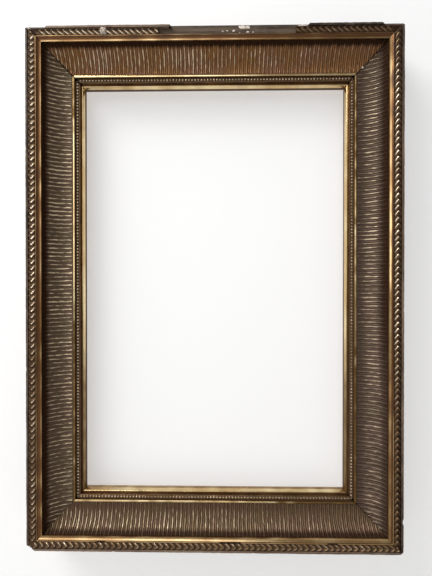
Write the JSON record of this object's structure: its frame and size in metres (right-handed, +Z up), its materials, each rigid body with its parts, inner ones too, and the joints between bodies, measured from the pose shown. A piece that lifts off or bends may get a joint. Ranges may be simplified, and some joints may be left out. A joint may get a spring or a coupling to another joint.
{
  "type": "wooden picture frame",
  "caption": "Empty mitred picture frame with a deep fluted cove, leaf and pearl ornament, gilt hollow and slip, open rebate behind, and ring hangers on the back.",
  "frame": {"origin": "middle of the bottom of the whole box: half way across, on the plane that the frame stands on, half way through its depth with the hangers", "axes": "+Z up along the height, +X to the right as seen from the front, and the carved front faces -Y"},
  "size_m": [0.5636, 0.0696, 0.7876],
  "materials": {
    "raw_pine": "bare old pine, darkened and dusty",
    "aged_pine": "dark washed pine, worn bare in places",
    "edge_wood": "dark bronze paint, rubbed",
    "bronzed_compo": "bronzed composition with a low satin sheen",
    "gilt": "old gold leaf, rubbed, satin",
    "key_wood": "bare hardwood",
    "iron": "dull, slightly rusted",
    "brass": "tarnished"
  },
  "bodies": {
    "frame": {"bottom_back_rail": "raw_pine", "right_back_rail": "raw_pine", "top_back_rail": "raw_pine", "left_back_rail": "raw_pine", "bottom_cove_moulding": "aged_pine", "right_cove_moulding": "aged_pine", "top_cove_moulding": "aged_pine", "left_cove_moulding": "aged_pine", "bottom_edge_strip": "edge_wood", "right_edge_strip": "edge_wood", "top_edge_strip": "edge_wood", "left_edge_strip": "edge_wood", "bottom_leaf_strip": "bronzed_compo", "right_leaf_strip": "bronzed_compo", "top_leaf_strip": "bronzed_compo", "left_leaf_strip": "bronzed_compo", "bottom_gilt_moulding": "gilt", "right_gilt_moulding": "gilt", "top_gilt_moulding": "gilt", "left_gilt_moulding": "gilt", "bottom_fluting": "bronzed_compo", "right_fluting": "bronzed_compo", "top_fluting": "bronzed_compo", "left_fluting": "bronzed_compo", "bottom_pearl_strip": "bronzed_compo", "right_pearl_strip": "bronzed_compo", "top_pearl_strip": "bronzed_compo", "left_pearl_strip": "bronzed_compo", "bottom_slip": "gilt", "right_slip": "gilt", "top_slip": "gilt", "left_slip": "gilt", "bottom_left_corner_key": "key_wood", "bottom_right_corner_key": "key_wood", "top_left_corner_key": "key_wood", "top_right_corner_key": "key_wood", "mitre_nails": "iron", "edge_strip_pins": "iron", "left_hanger_strap": "brass", "right_hanger_strap": "brass", "hanger_screws": "iron"},
    "left_ring": {"left_hanging_ring": "brass"},
    "right_ring": {"right_hanging_ring": "brass"}
  },
  "joints": [
    {"name": "left_ring_swing", "type": "hinge", "parent": "frame", "child": "left_ring", "pos_m": [-0.2459, 0.03215, 0.54], "axis": [1, 0, 0], "range_deg": [0, 180]},
    {"name": "right_ring_swing", "type": "hinge", "parent": "frame", "child": "right_ring", "pos_m": [0.2459, 0.03215, 0.54], "axis": [1, 0, 0], "range_deg": [0, 180]}
  ]
}
